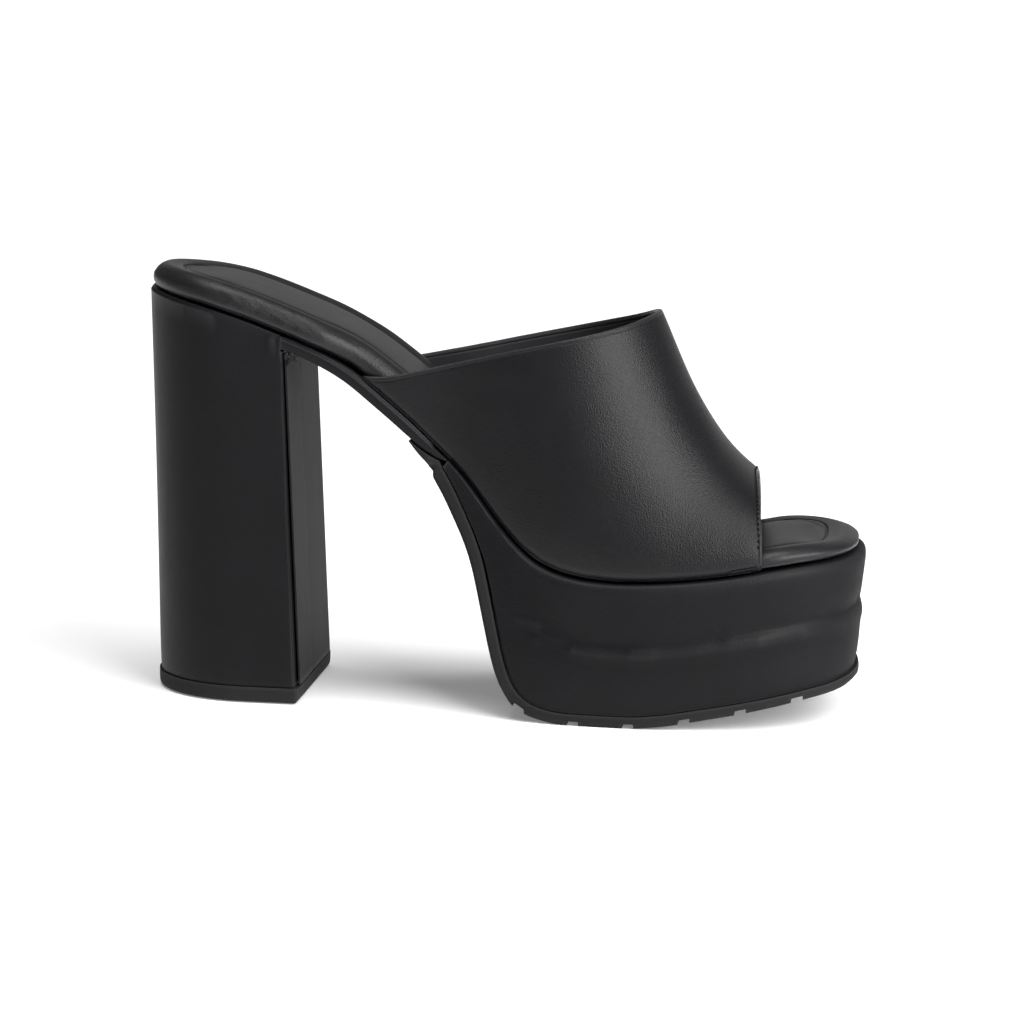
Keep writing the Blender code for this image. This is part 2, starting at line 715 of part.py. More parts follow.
def main():
    for item in list(bpy.data.objects):
        bpy.data.objects.remove(item)
    parts = bpy.data.collections.new("heeled_mule")
    cutters = bpy.data.collections.new("cutters")
    bpy.context.scene.collection.children.link(parts)
    bpy.context.scene.collection.children.link(cutters)
    frame = bpy.data.objects.new("mule_frame", None)
    frame.location = (0, -sideways_middle() * MM, 0)
    parts.objects.link(frame)
    make_heel(parts, cutters, frame)
    make_top_lift(parts, frame)
    near = COVER_MARGIN - HEEL_TOP_WIDTH / 2
    seam = near + COVER_SEAM_IN
    make_breast_cover("breast_cover_outer", near, seam - FIT_GAP / 2, parts, frame)
    make_breast_cover("breast_cover_inner", seam + FIT_GAP / 2, -near, parts, frame)
    make_shank_cover(parts, frame)
    make_platform(parts, frame)
    make_outsole(parts, cutters, frame)
    make_footbed(parts, frame)
    make_upper(parts, frame)


main()
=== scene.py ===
"""A black leather platform mule with a block heel and an open toe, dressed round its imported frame.

Lengths inside the functions are in millimetres, and MM turns them into metres. +X runs to the toe,
+Z up, and -Y is the outer side, which the camera sees.
"""

from collections import namedtuple
from math import radians

import bmesh
import bpy
import numpy as np
from mathutils import Matrix, Vector
from mathutils.bvhtree import BVHTree


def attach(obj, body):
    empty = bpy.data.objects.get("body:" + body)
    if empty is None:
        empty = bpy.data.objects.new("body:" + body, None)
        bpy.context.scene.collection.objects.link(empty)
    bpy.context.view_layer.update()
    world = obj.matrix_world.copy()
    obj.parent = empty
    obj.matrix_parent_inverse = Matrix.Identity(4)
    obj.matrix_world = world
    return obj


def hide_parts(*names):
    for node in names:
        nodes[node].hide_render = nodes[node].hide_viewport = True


MM = 0.001
SHARP = radians(38)

# The shoe's own sizes, as its solids have them.
LENGTH = 225.6
BALL_WIDTH = 90.4
HEEL_HEIGHT = 125.9
PLATFORM_HEIGHT = 44.2
BACK_X = -LENGTH / 2
TOE_X = LENGTH / 2
SIDE_SHIFT = 1.8
FIT_GAP = 0.3
HEEL_TOP_LENGTH = 46.2
SHANK_LAP = 0.4
WALL = 1.8
TOE_ROUND_LENGTH = 40.1
TOE_SQUARENESS = 2.5
TOE_MARGIN = 2.2
TOE_EDGE_FROM_TOE = 34.5
WING_FROM_BACK = 67.5
BED_INSIDE = 4.1
BED_TAPER = 14.5
BED_FLARE = 6.5
PANEL_INSET = 10.4

# The seat line: x as a share of LENGTH, rise as a share of the way up to HEEL_HEIGHT.
Seat = namedtuple("Seat", "x rise")
SEAT = [
    Seat(0.0, 1.0), Seat(0.038, 0.978), Seat(0.092, 0.946), Seat(0.147, 0.903),
    Seat(0.203, 0.848), Seat(0.258, 0.788), Seat(0.299, 0.728), Seat(0.340, 0.641),
    Seat(0.382, 0.546), Seat(0.423, 0.441), Seat(0.452, 0.365), Seat(0.481, 0.273),
    Seat(0.510, 0.177), Seat(0.539, 0.099), Seat(0.567, 0.048), Seat(0.595, 0.021),
    Seat(0.627, 0.006), Seat(0.672, 0.0), Seat(0.716, 0.005), Seat(0.769, 0.017),
    Seat(0.822, 0.035), Seat(0.867, 0.057), Seat(0.915, 0.077), Seat(0.966, 0.088),
    Seat(1.0, 0.098),
]

# The plan: x as a share of LENGTH, half width and drift of the middle as shares of BALL_WIDTH.
Plan = namedtuple("Plan", "x half centre")
PLAN = [
    Plan(0.0, 0.343, 0.0), Plan(0.193, 0.343, 0.0), Plan(0.259, 0.346, 0.0),
    Plan(0.304, 0.354, -0.002), Plan(0.370, 0.357, -0.004), Plan(0.435, 0.358, -0.006),
    Plan(0.503, 0.403, -0.009), Plan(0.570, 0.456, -0.014), Plan(0.636, 0.491, -0.019),
    Plan(0.707, 0.500, -0.020), Plan(0.769, 0.493, -0.018), Plan(0.836, 0.473, -0.013),
    Plan(0.902, 0.449, -0.010), Plan(1.0, 0.409, -0.010),
]

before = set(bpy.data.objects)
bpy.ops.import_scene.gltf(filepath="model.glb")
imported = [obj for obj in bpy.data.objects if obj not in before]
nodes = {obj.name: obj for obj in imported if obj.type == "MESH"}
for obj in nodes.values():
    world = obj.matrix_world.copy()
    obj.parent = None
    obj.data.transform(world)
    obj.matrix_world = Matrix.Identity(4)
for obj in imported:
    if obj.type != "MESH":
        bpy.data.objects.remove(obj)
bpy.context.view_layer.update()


# Places on the shoe.


def ramp(x, start, end):
    """0 up to the start, 1 from the end on."""
    return np.clip((x - start) / (end - start), 0, 1)


def seat(x):
    """The height of the seat line at each x."""
    rise = np.interp((x - BACK_X) / LENGTH, [row.x for row in SEAT], [row.rise for row in SEAT])
    return PLATFORM_HEIGHT + rise * (HEEL_HEIGHT - PLATFORM_HEIGHT)


def plan(x, column):
    """One column of the plan at each x."""
    values = [getattr(row, column) for row in PLAN]
    return np.interp((x - BACK_X) / LENGTH, [row.x for row in PLAN], values) * BALL_WIDTH


def middle(x):
    """The sideways place of the shoe's middle line."""
    return SIDE_SHIFT + plan(x, "centre")


def inner_side(path):
    """The same path on the shoe's inner side, run the other way."""
    return [(x, 2 * middle(x) - y, z) for x, y, z in path[::-1]]


# The toe's corners are squarer on the photographed shoe than in the solids.
OUTER_SQUARENESS = 2.7
INNER_SQUARENESS = 3.6
LEAST_TOE_WIDTH = 0.01
TIP_CLEARANCE = 0.6
CORNER_BLEND = 8


def toe_cap(x, tip, squareness):
    """The share of the full width left at x, where the toe closes."""
    reach = ramp(x, TOE_X - TOE_ROUND_LENGTH, tip)
    return np.maximum((1 - reach**squareness) ** (1 / squareness), LEAST_TOE_WIDTH)


def square_toe(piece, tip):
    """Makes the toe's corners squarer, most of all on the big toe's side."""
    points = read(piece)
    x = np.minimum(points[:, 0], tip - TIP_CLEARANCE)
    plain = toe_cap(x, tip, TOE_SQUARENESS)
    outer = toe_cap(x, tip, OUTER_SQUARENESS) / plain
    inner = toe_cap(x, tip, INNER_SQUARENESS) / plain
    across = points[:, 1] - middle(x)
    share = ramp(across, -CORNER_BLEND, CORNER_BLEND)
    points[:, 1] = middle(x) + across * (outer + (inner - outer) * share)
    place_points(piece, points)


# How many points the insole's outline has round the heel, along a side and round the toe.
HEEL_STEPS = 40
SIDE_STEPS = 90
TOE_STEPS = 50


def insole_outline():
    """The padded insole's outline in plan, as straight runs."""
    tip = TOE_X - TOE_MARGIN
    roundness = plan(BACK_X, "half")
    x = np.concatenate([
        BACK_X + roundness * (1 - np.cos(np.linspace(0, np.pi / 2, HEEL_STEPS))),
        np.linspace(BACK_X + roundness + 1, tip - TOE_ROUND_LENGTH, SIDE_STEPS),
        tip - TOE_ROUND_LENGTH * (1 - np.sin(np.linspace(0.02, np.pi / 2, TOE_STEPS))),
    ])
    wing = BACK_X + WING_FROM_BACK + WALL
    edge = TOE_X - TOE_EDGE_FROM_TOE + WALL
    entered = ramp(x, wing - BED_TAPER, wing)
    entered *= entered * (3 - 2 * entered)
    left = ramp(x, edge, edge + BED_FLARE)
    margin = entered * (BED_INSIDE + left * (TOE_MARGIN - BED_INSIDE))
    heel = np.sqrt(1 - (1 - ramp(x, BACK_X, BACK_X + roundness)) ** 2)
    half = (plan(x, "half") - margin) * heel
    near = np.stack([x, middle(x) - half * toe_cap(x, tip, OUTER_SQUARENESS), 0 * x], axis=1)
    far = np.stack([x, middle(x) + half * toe_cap(x, tip, INNER_SQUARENESS), 0 * x], axis=1)
    return path_runs(np.concatenate([near, far[::-1]]))


def path_runs(path):
    """A path's points, in millimetres, as its straight runs."""
    path = [np.array(point, dtype=float) for point in path]
    return list(zip(path, path[1:]))


def distance(points, runs):
    """How far each point is from the nearest of the runs."""
    nearest = np.full(len(points), np.inf)
    for start, end in runs:
        run = end - start
        share = np.clip((points - start) @ run / max(run @ run, 1e-9), 0, 1)
        away = np.linalg.norm(points - start - share[:, None] * run, axis=1)
        nearest = np.minimum(nearest, away)
    return nearest


# Reading, moving and marking a piece's points.


def read(piece, what="co"):
    """The points' places in millimetres, or their normals."""
    values = np.empty(len(piece.data.vertices) * 3)
    piece.data.vertices.foreach_get(what, values)
    values = values.reshape(-1, 3)
    return values / MM if what == "co" else values


def place_points(piece, points):
    """Moves the piece's points to these places in millimetres."""
    piece.data.vertices.foreach_set("co", (points * MM).ravel())
    piece.data.update()


def mark(piece, name, values):
    """Stores one value at each point of the piece, for its material to read."""
    layer = piece.data.attributes.new(name, "FLOAT", "POINT")
    layer.data.foreach_set("value", np.asarray(values, dtype=np.float32))


# The slope away from a point's own plane at which an edge counts as fully worn.
FULLY_WORN = 0.16


def mark_wear(piece):
    """Wear goes up to 1 on outer edges, where a hand rubs, and is 0 on the flat and in hollows."""
    points, normals = read(piece), read(piece, "normal")
    ends = np.empty(len(piece.data.edges) * 2, dtype=int)
    piece.data.edges.foreach_get("vertices", ends)
    ends = ends.reshape(-1, 2)
    bend = np.zeros(len(points))
    count = np.zeros(len(points))
    for here, there in ((0, 1), (1, 0)):
        run = points[ends[:, there]] - points[ends[:, here]]
        fall = -(run * normals[ends[:, here]]).sum(axis=1) / np.linalg.norm(run, axis=1)
        np.add.at(bend, ends[:, here], fall)
        np.add.at(count, ends[:, here], 1)
    mark(piece, "wear", np.clip(bend / count / FULLY_WORN, 0, 1))


# A soft trough pressed along a path. A negative depth raises a ridge.
Trough = namedtuple("Trough", "path half_width depth")


def press(piece, troughs):
    """Presses the troughs into the piece, one after the other."""
    for trough in troughs:
        points, normals = read(piece), read(piece, "normal")
        away = distance(points, path_runs(trough.path))
        points -= normals * (trough.depth * np.exp(-((away / trough.half_width) ** 2)))[:, None]
        place_points(piece, points)


# Making pieces. Points closer than this become one, and these angles say what joins into a quad.
MERGE_WITHIN = 0.001
QUAD_FLATNESS = radians(50)
QUAD_SQUARENESS = radians(70)


def deselect():
    if bpy.context.mode != "OBJECT":
        bpy.ops.object.mode_set(mode="OBJECT")
    bpy.ops.object.select_all(action="DESELECT")


def take(piece):
    """Makes this the one selected piece."""
    deselect()
    piece.select_set(True)
    bpy.context.view_layer.objects.active = piece


def put(name, data):
    """A new object in the scene."""
    made = bpy.data.objects.new(name, data)
    bpy.context.scene.collection.objects.link(made)
    return made


def joined(pieces, name):
    """Joins the pieces into one."""
    take(pieces[0])
    for piece in pieces:
        piece.select_set(True)
    bpy.ops.object.join()
    pieces[0].name = name
    return pieces[0]


def cage(node, name):
    """A copy of a frame node, with its loose triangles joined into quads."""
    piece = put(name, nodes[node].data.copy())
    take(piece)
    bpy.ops.mesh.customdata_custom_splitnormals_clear()
    bpy.ops.object.mode_set(mode="EDIT")
    bpy.ops.mesh.select_all(action="SELECT")
    bpy.ops.mesh.remove_doubles(threshold=MERGE_WITHIN * MM)
    bpy.ops.mesh.tris_convert_to_quads(
        face_threshold=QUAD_FLATNESS, shape_threshold=QUAD_SQUARENESS
    )
    bpy.ops.object.mode_set(mode="OBJECT")
    piece.data.materials.clear()
    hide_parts(node)
    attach(piece, "root")
    return piece


def rounded(piece, levels, crease):
    """Subdivides a cage. Its sharp edges stay as sharp as the crease says."""
    take(piece)
    bpy.ops.object.mode_set(mode="EDIT")
    bpy.ops.mesh.select_mode(type="EDGE")
    bpy.ops.mesh.select_all(action="DESELECT")
    bpy.ops.mesh.edges_select_sharp(sharpness=SHARP)
    bpy.ops.transform.edge_crease(value=crease)
    bpy.ops.mesh.select_all(action="DESELECT")
    bpy.ops.object.mode_set(mode="OBJECT")
    rounder = piece.modifiers.new("rounder", "SUBSURF")
    rounder.levels = levels
    rounder.render_levels = levels
    bpy.ops.object.modifier_apply(modifier="rounder")
    bpy.ops.object.shade_smooth_by_angle(angle=SHARP)
    return piece


def dressed(piece, slot, *materials):
    """Gives the piece its wear and its materials. The slot is not used."""
    mark_wear(piece)
    for material in materials:
        piece.data.materials.append(material)


def rim_runs(piece):
    """The sharp edges of a cage, as runs."""
    shape = bmesh.new()
    shape.from_mesh(piece.data)
    runs = []
    for edge in shape.edges:
        if len(edge.link_faces) == 2 and edge.calc_face_angle() > SHARP:
            runs.append(tuple(np.array(point.co) / MM for point in edge.verts))
    shape.free()
    return runs


class Shader:
    """A short way to build one material's nodes."""

    def __init__(self, name):
        self.material = bpy.data.materials.new(name)
        self.material.use_nodes = True
        self.tree = self.material.node_tree
        self.surface = self.tree.nodes["Principled BSDF"]

    def node(self, kind, **settings):
        """A new node. A setting is one of its inputs, or else one of its options."""
        made = self.tree.nodes.new(kind)
        for key, value in settings.items():
            if key in made.inputs:
                made.inputs[key].default_value = value
            else:
                setattr(made, key, value)
        return made

    def link(self, start, end):
        self.tree.links.new(start, end)

    def place(self, stretch=(1, 1, 1)):
        """Object coordinates in millimetres."""
        coordinates = self.node("ShaderNodeTexCoord")
        mapping = self.node("ShaderNodeMapping", Scale=[share / MM for share in stretch])
        self.link(coordinates.outputs["Object"], mapping.inputs["Vector"])
        return mapping.outputs["Vector"]

    def marked(self, name):
        """What a piece's points carry under this name."""
        made = self.node("ShaderNodeAttribute", attribute_name=name)
        return made.outputs["Fac"]

    def noise(self, place, scale, detail=2.0, roughness=0.5):
        made = self.node("ShaderNodeTexNoise", Scale=scale, Detail=detail, Roughness=roughness)
        self.link(place, made.inputs["Vector"])
        return made.outputs["Fac"]

    def cells(self, place, scale):
        made = self.node("ShaderNodeTexVoronoi", Scale=scale)
        self.link(place, made.inputs["Vector"])
        return made.outputs["Distance"]

    def spread(self, value, low, high, start=0.0, end=1.0):
        """A value that runs from start to end, laid out between low and high."""
        made = self.node("ShaderNodeMapRange")
        made.inputs["From Min"].default_value = start
        made.inputs["From Max"].default_value = end
        made.inputs["To Min"].default_value = low
        made.inputs["To Max"].default_value = high
        self.link(value, made.inputs["Value"])
        return made.outputs["Result"]

    def maths(self, operation, first, second):
        made = self.node("ShaderNodeMath", operation=operation)
        for socket, value in zip(made.inputs, (first, second)):
            if isinstance(value, (int, float)):
                socket.default_value = value
            else:
                self.link(value, socket)
        return made.outputs["Value"]

    def line(self, away, at, half):
        """1 on the line that lies this far from an edge, and 0 beside it."""
        off = self.maths("ABSOLUTE", self.maths("SUBTRACT", away, at), 0.0)
        return self.spread(off, 1.0, 0.0, 0.0, half)

    def groove(self, away, groove):
        """A groove along an edge, as a height and a depth for bump."""
        return self.line(away, groove.inset, groove.half_width), -groove.depth

    def mix(self, share, first, second):
        """A colour between two others. Either is a colour or a node's output."""
        made = self.node("ShaderNodeMix", data_type="RGBA")
        self.link(share, made.inputs["Factor"])
        for socket, value in zip(("A", "B"), (first, second)):
            if isinstance(value, tuple):
                made.inputs[socket].default_value = (*value, 1)
            else:
                self.link(value, made.inputs[socket])
        return made.outputs["Result"]

    def bump(self, heights):
        """Bumps one over the other. Each is a height from 0 to 1 and its depth in millimetres."""
        normal = None
        for height, depth in heights:
            made = self.node("ShaderNodeBump", Distance=depth * MM, Strength=1.0)
            self.link(height, made.inputs["Height"])
            if normal:
                self.link(normal, made.inputs["Normal"])
            normal = made.outputs["Normal"]
        self.link(normal, self.surface.inputs["Normal"])

    def colour(self, value):
        self.link(value, self.surface.inputs["Base Color"])

    def roughness(self, value):
        self.link(value, self.surface.inputs["Roughness"])

    def gloss(self, specular):
        self.surface.inputs["Specular IOR Level"].default_value = specular


# The colours of the leather: in its mottling, where it is worn, and inside the vamp.
DEEP = (0.004, 0.004, 0.0046)
SOFT = (0.0065, 0.0065, 0.0075)
WORN = (0.03, 0.03, 0.032)
LINING_DARK = (0.02, 0.02, 0.022)
LINING_LIGHT = (0.028, 0.028, 0.031)

# Each leather's roughness, the size and the height of its pebbles, and its gloss.
Skin = namedtuple("Skin", "name rough grain height gloss")
VAMP_SKIN = Skin("pebbled_leather", 0.36, 0.47, 0.075, 0.2)
WRAP_SKIN = Skin("wrap_leather", 0.42, 0.55, 0.07, 0.12)
INSOLE_SKIN = Skin("footbed_leather", 0.42, 0.6, 0.05, 0.3)
LINING_SKIN = Skin("lining_leather", 0.6, 0.6, 0.04, 0.25)
HEEL_SKIN = Skin("smooth_leather", 0.48, 0.5, 0.03, 0.13)
BREAST_SKIN = Skin("breast_leather", 0.62, 0.5, 0.05, 0.14)

# The breast's mottling is drawn out upwards.
BREAST_STRETCH = (1, 1, 0.06)

# What all the leathers share: mottles, wear, soft waves in the hide and the fine grain on the pebbles.
MOTTLE_SCALE = 0.05
MOTTLE_ROUGHNESS = 0.05
WEAR_COLOUR = 0.6
WEAR_POLISH = 0.1
WAVE_SCALE = 0.09
WAVE_HEIGHT = 0.12
FINE_SCALE = 1.5
FINE_HEIGHT = 0.7

# Sewn and folded lines: how far in from an edge, how wide and how deep.
STITCH_INSET = 1.3
Groove = namedtuple("Groove", "inset half_width depth")
TOE_GROOVE = Groove(STITCH_INSET, 0.6, 0.25)
TOP_FOLD = Groove(1.4, 0.5, 0.15)
PANEL_GROOVE = Groove(PANEL_INSET, 0.55, 0.8)
LINING_SEAM = Groove(1.5, 0.45, 0.3)

# The crumple in the leather over the insole's roll.
CRUMPLE_STRETCH = (0.8, 1, 1.6)
CRUMPLE_SCALE = 0.28
CRUMPLE_HEIGHT = 0.22
ROLL_MIDDLE = 3.5
ROLL_HALF = 5.0

# The platform's leather is scuffed dull at the toe, between these places.
SCUFFED_ROUGHNESS = 0.7
SCUFFS_OVER = (88, 108)


def leather(skin, stretch=(1, 1, 1), dark=DEEP, light=SOFT):
    """A leather with a soft mottling: its shader, and the heights of its relief for bump."""
    shader = Shader(skin.name)
    place = shader.place()
    mottle = shader.noise(shader.place(stretch), MOTTLE_SCALE, detail=4.0, roughness=0.6)
    wear = shader.maths("MULTIPLY", shader.marked("wear"), WEAR_COLOUR)
    shader.colour(shader.mix(wear, shader.mix(mottle, dark, light), WORN))
    pebbles = shader.cells(place, 1.0 / skin.grain)
    fine = shader.noise(place, FINE_SCALE / skin.grain, detail=3.0, roughness=0.6)
    soft = shader.noise(place, WAVE_SCALE, detail=1.0)
    heights = [(soft, WAVE_HEIGHT), (pebbles, skin.height), (fine, skin.height * FINE_HEIGHT)]
    uneven = shader.spread(mottle, skin.rough - MOTTLE_ROUGHNESS, skin.rough + MOTTLE_ROUGHNESS)
    shader.roughness(shader.maths("SUBTRACT", uneven, shader.maths("MULTIPLY", wear, WEAR_POLISH)))
    shader.gloss(skin.gloss)
    return shader, heights


def plain_leather(skin, stretch=(1, 1, 1)):
    shader, heights = leather(skin, stretch)
    shader.bump(heights)
    return shader.material


def vamp_leather():
    """The vamp's pebbled leather, with a groove for the stitches and the mark of the folded top edge."""
    shader, heights = leather(VAMP_SKIN)
    groove = shader.groove(shader.marked("from_toe_edge"), TOE_GROOVE)
    fold = shader.groove(shader.marked("from_edge"), TOP_FOLD)
    shader.bump(heights + [groove, fold])
    return shader.material


def wrap_leather():
    """The platform's leather, duller at the toe."""
    shader, heights = leather(WRAP_SKIN)
    shader.roughness(shader.spread(shader.marked("scuffed"), WRAP_SKIN.rough, SCUFFED_ROUGHNESS))
    shader.bump(heights)
    return shader.material


def insole_leather():
    """The insole's leather: a sewn groove round the panel, and a crumpled roll outside it."""
    shader, heights = leather(INSOLE_SKIN)
    inset = shader.marked("inset")
    groove = shader.groove(inset, PANEL_GROOVE)
    crumple = shader.noise(shader.place(CRUMPLE_STRETCH), CRUMPLE_SCALE)
    rolled = shader.maths("MULTIPLY", crumple, shader.line(inset, ROLL_MIDDLE, ROLL_HALF))
    shader.bump(heights + [(rolled, CRUMPLE_HEIGHT), groove])
    return shader.material


def lining_leather():
    """The vamp's lining: the leather is folded in over its top edge, and a seam holds it there."""
    shader, heights = leather(LINING_SKIN, dark=LINING_DARK, light=LINING_LIGHT)
    shader.bump(heights + [shader.groove(shader.marked("from_edge"), LINING_SEAM)])
    return shader.material


# The rubbers' shades, each from dark to light, and their worn edges.
LIFT_DARK = (0.012, 0.012, 0.0125)
LIFT_LIGHT = (0.017, 0.017, 0.0175)
SOLE_DARK = (0.009, 0.009, 0.0095)
SOLE_LIGHT = (0.014, 0.014, 0.0145)
WORN_RUBBER = (0.03, 0.03, 0.031)
RUBBER_WEAR = 0.5
RUBBER_GLOSS = 0.14
RUBBER_ROUGH = (0.68, 0.8)
SPECK_SCALE = 1.6
SPECK_HEIGHT = 0.06


def moulded_rubber(name, dark, light):
    """Matte rubber with a fine speck from its mould."""
    shader = Shader(name)
    place = shader.place()
    speck = shader.noise(place, SPECK_SCALE, detail=3.0, roughness=0.65)
    cloudy = shader.noise(place, MOTTLE_SCALE)
    wear = shader.maths("MULTIPLY", shader.marked("wear"), RUBBER_WEAR)
    shader.colour(shader.mix(wear, shader.mix(cloudy, dark, light), WORN_RUBBER))
    shader.bump([(speck, SPECK_HEIGHT)])
    shader.roughness(shader.spread(speck, *RUBBER_ROUGH))
    shader.gloss(RUBBER_GLOSS)
    return shader.material


# The thread of the toe's stitches.
THREAD_DARK = (0.004, 0.004, 0.004)
THREAD_LIGHT = (0.008, 0.008, 0.008)
THREAD_ROUGH = (0.8, 0.95)
THREAD_GLOSS = 0.05
TWIST_SCALE = 4.0
TWIST_HEIGHT = 0.05


def thread():
    """Black waxed thread with the twist of its strands."""
    shader = Shader("waxed_thread")
    twist = shader.noise(shader.place(), TWIST_SCALE, detail=1.0)
    shader.colour(shader.mix(twist, THREAD_DARK, THREAD_LIGHT))
    shader.bump([(twist, TWIST_HEIGHT)])
    shader.roughness(shader.spread(twist, *THREAD_ROUGH))
    shader.gloss(THREAD_GLOSS)
    return shader.material


# The vamp: how far its lower edge curls in, and which of its rims are the toe's and the top's.
VAMP_CREASE = 0.25
CURL_HEIGHT = 2.4
CURL_DEPTH = 1.2
OUTWARD_SLOPE = 4
LEAST_LEVEL = 0.05
RIM_SLACK = 6
TOP_EDGE_FRONT = 50
TOP_EDGE_LOW = 2.5

# A face is lining where it looks in at the foot, whose middle is this high over the seat line.
FOOT_MIDDLE = 12
FACES_IN = -0.35


def turn_under(piece):
    """The vamp's lower edge curls in before it meets the platform."""
    points, normals = read(piece), read(piece, "normal")
    over = points[:, 2] - seat(points[:, 0]) - FIT_GAP
    side = np.sign(points[:, 1] - middle(points[:, 0]))
    outward = np.clip(normals[:, 1] * side * OUTWARD_SLOPE, 0, 1)
    steep = np.linalg.norm(normals[:, :2], axis=1)
    level = normals[:, :2] / np.maximum(steep, LEAST_LEVEL)[:, None]
    pull = CURL_DEPTH * (1 - np.clip(over / CURL_HEIGHT, 0, 1)) ** 2 * outward
    points[:, :2] -= level * pull[:, None]
    place_points(piece, points)


def line_inside(piece):
    """Gives the faces inside the vamp the second material."""
    for face in piece.data.polygons:
        x, y, z = face.center / MM
        away = Vector((0, y - middle(x), z - seat(x) - FOOT_MIDDLE)).normalized()
        face.material_index = 1 if face.normal.dot(away) < FACES_IN else 0


def make_vamp():
    """The vamp with its lining, its curled lower edge and the stitches round the toe opening."""
    piece = cage("upper", "vamp")
    toe = []
    top = []
    for run in rim_runs(piece):
        back, front = sorted((run[0][0], run[1][0]))
        if back > TOE_X - TOE_EDGE_FROM_TOE - RIM_SLACK:
            toe.append(run)
        if front < TOP_EDGE_FRONT and run[0][2] > seat(run[0][0]) + TOP_EDGE_LOW:
            top.append(run)
    rounded(piece, 2, VAMP_CREASE)
    turn_under(piece)
    points = read(piece)
    mark(piece, "from_toe_edge", distance(points, toe))
    mark(piece, "from_edge", distance(points, top))
    dressed(piece, "leather", vamp_leather(), lining_leather())
    line_inside(piece)
    make_stitches(piece, toe_edge_path(toe))


# The stitches' own sizes.
STITCH_PITCH = 2.0
STITCH_LENGTH = 1.35
STITCH_WIDTH = 0.6

# The toe edge is followed by its turn round an axis this high over the seat line.
TURN_AXIS = 5
EDGE_LOW = 1.5
SAME_TURN = 0.12


def toe_edge_path(toe):
    """The outer line of the toe opening's edge, in its order round the foot."""
    places = {}
    for run in toe:
        for point in run:
            x, y, z = point
            rise = z - seat(x) - TURN_AXIS
            aside = y - middle(x)
            if z > seat(x) + EDGE_LOW:
                places[tuple(np.round(point, 3))] = (np.arctan2(rise, aside), np.hypot(rise, aside))
    ranked = sorted(places, key=lambda point: -places[point][0])
    path = []
    for point in ranked:
        turn, reach = places[point]
        beside = [places[other][1] for other in ranked if abs(places[other][0] - turn) < SAME_TURN]
        if reach > (min(beside) + max(beside)) / 2:
            path.append(Vector(point))
    return path


def make_stitches(vamp, path):
    """A row of stitches along the toe opening, let into the leather. One is made and copied."""
    tree = BVHTree.FromPolygons(
        [point.co / MM for point in vamp.data.vertices],
        [face.vertices for face in vamp.data.polygons],
    )
    along = [0.0]
    for here, there in zip(path, path[1:]):
        along.append(along[-1] + (there - here).length)
    columns = np.array([tuple(point) for point in path]).T

    def on_path(reach):
        return Vector([float(np.interp(reach, along, column)) for column in columns])

    bpy.ops.mesh.primitive_uv_sphere_add(segments=8, ring_count=6, radius=0.5)
    first = bpy.context.object
    first.scale = (STITCH_WIDTH, STITCH_LENGTH, STITCH_WIDTH)
    bpy.ops.object.transform_apply(location=False, rotation=False, scale=True)
    copies = []
    for number in range(int((along[-1] - 2 * STITCH_PITCH) / STITCH_PITCH)):
        reach = STITCH_PITCH * (number + 1)
        here = on_path(reach)
        there = on_path(reach + 1)
        spot, normal, _, _ = tree.find_nearest(here + Vector((-STITCH_INSET, 0, 0)))
        across = (there - here).normalized().cross(normal).normalized()
        turn = Matrix((across, normal.cross(across), normal)).transposed().to_4x4()
        stitch = put("stitch", first.data.copy())
        stitch.data.transform(Matrix.Translation(spot * MM) @ turn @ Matrix.Scale(MM, 4))
        copies.append(stitch)
    bpy.data.objects.remove(first)
    piece = joined(copies, "toe_stitches")
    bpy.ops.object.shade_smooth()
    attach(piece, "root")
    dressed(piece, "leather", thread())


# The insole's thickness in millimetres, at each share of LENGTH.
Thick = namedtuple("Thick", "x high")
INSOLE_THICK = [
    Thick(0.0, 8.0), Thick(0.1, 8.6), Thick(0.3, 8.5), Thick(0.37, 9.0), Thick(0.437, 8.6),
    Thick(0.503, 7.6), Thick(0.57, 6.6), Thick(0.636, 5.8), Thick(0.707, 5.4), Thick(0.95, 5.1),
    Thick(1.0, 4.2),
]

# The insole's cross-section: how far in from its edge, and how much higher it is than its solid.
Lift = namedtuple("Lift", "inset share")
INSOLE_LIFT = [
    Lift(0.0, 0.0), Lift(1.2, -0.04), Lift(3.2, -0.01), Lift(5.5, 0.03), Lift(7.4, 0.0),
    Lift(9.5, 0.0), Lift(10.4, -0.04), Lift(11.6, 0.03), Lift(13.0, 0.05), Lift(60.0, 0.06),
]
TOP_SHARE = 0.6

# The insole's lower edge is drawn in from the heel on and let out over the ball, up to the toe.
EDGE_SHARE = 0.3
EDGE_INSET = 3.0
EDGE_CURVE = 0.7
DRAWN_IN = 1.5
DRAWN_IN_OVER = (-108, -90)
LET_OUT = 2.9
LET_OUT_OVER = (45, 65)
EDGE_FADES_OVER = (95, 108)

# Creases on the insole's outer roll, each from its upper end down towards the toe.
ROLL_CREASES = [
    Trough([(-86, -28.0, 126.0), (-80, -29.2, 122.5)], 1.1, 0.15),
    Trough([(-80, -28.4, 124.6), (-74, -29.2, 121.0)], 1.0, 0.2),
    Trough([(-75, -28.2, 123.6), (-68, -29.3, 118.6)], 1.2, 0.2),
    Trough([(-69, -28.2, 121.6), (-62, -29.3, 116.6)], 1.0, 0.18),
    Trough([(-63, -28.2, 119.2), (-55, -29.3, 114.0)], 1.3, 0.18),
    Trough([(-91, -28.2, 127.0), (-84, -29.0, 124.0)], 1.2, 0.12),
]


def insole_thickness(x):
    share = (x - BACK_X) / LENGTH
    return np.interp(share, [row.x for row in INSOLE_THICK], [row.high for row in INSOLE_THICK])


